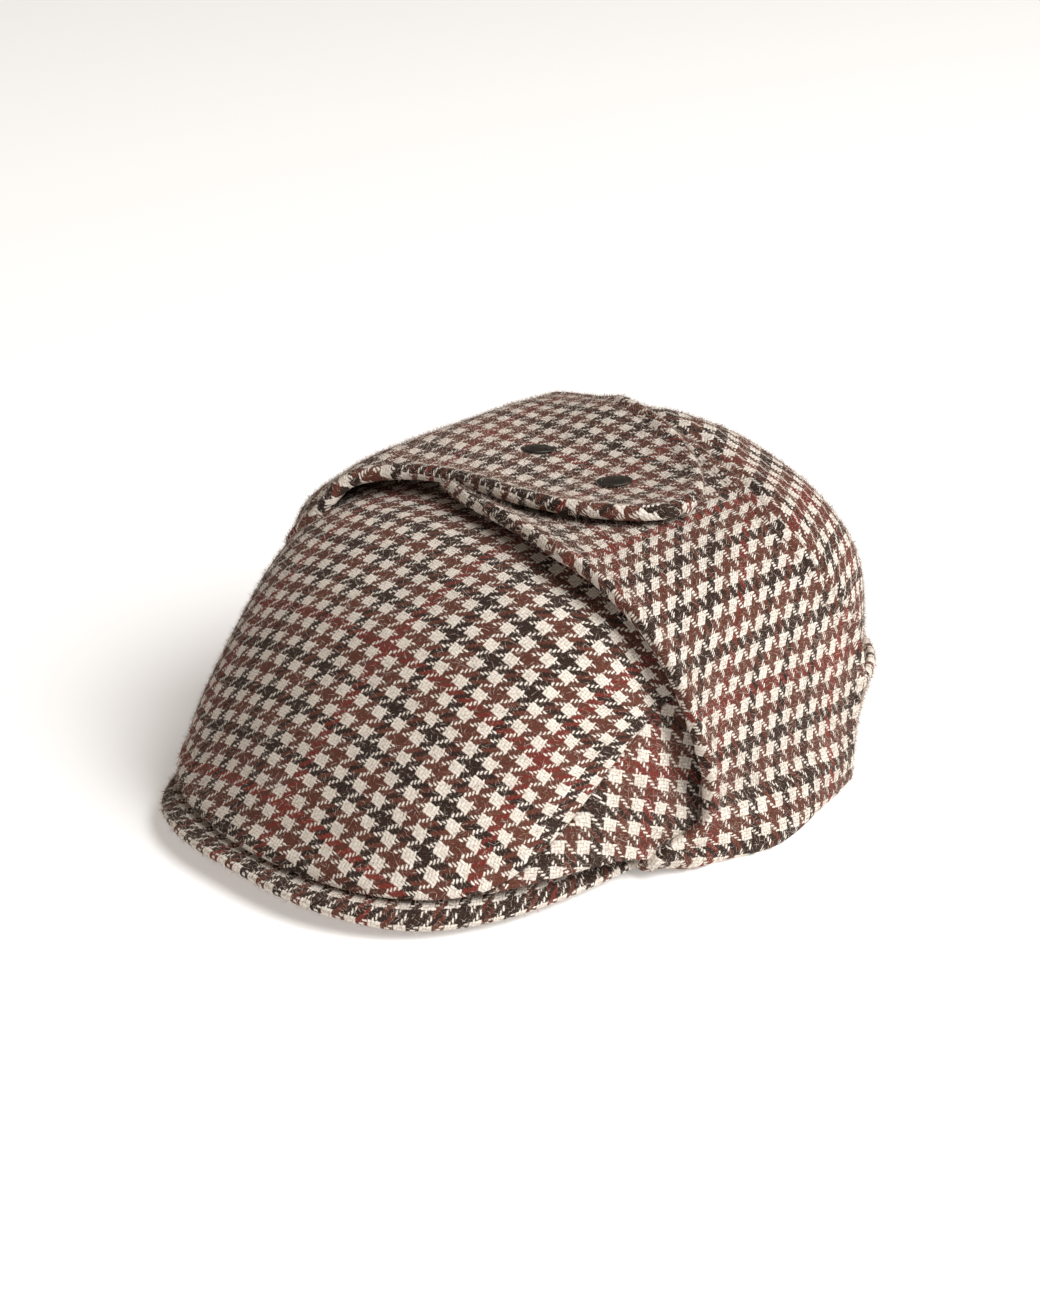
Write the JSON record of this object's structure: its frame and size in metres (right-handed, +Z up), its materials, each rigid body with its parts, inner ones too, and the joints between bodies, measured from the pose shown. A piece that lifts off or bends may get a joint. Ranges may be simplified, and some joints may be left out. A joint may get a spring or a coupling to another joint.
{
  "type": "earflap cap",
  "caption": "Houndstooth tweed cap with a short peak, ear flaps folded up over the crown and snapped together on top, and a turned-up neck band.",
  "frame": {"origin": "middle of the cap's box, on the surface that its turned foot rests on", "axes": "+Z up, the peak toward -Y, the wearer's left toward +X"},
  "size_m": [0.2008, 0.2452, 0.1151],
  "materials": {
    "tweed": "soft woollen tweed in a brown, rust and cream houndstooth",
    "snap_metal": "dark matte bronze"
  },
  "bodies": {
    "root": {"crown_top": "tweed", "side_panel_left": "tweed", "side_panel_right": "tweed", "peak": "tweed", "flap_left": "tweed", "flap_right": "tweed", "neck_band": "tweed", "snap_left": "snap_metal", "snap_right": "snap_metal"}
  },
  "joints": []
}
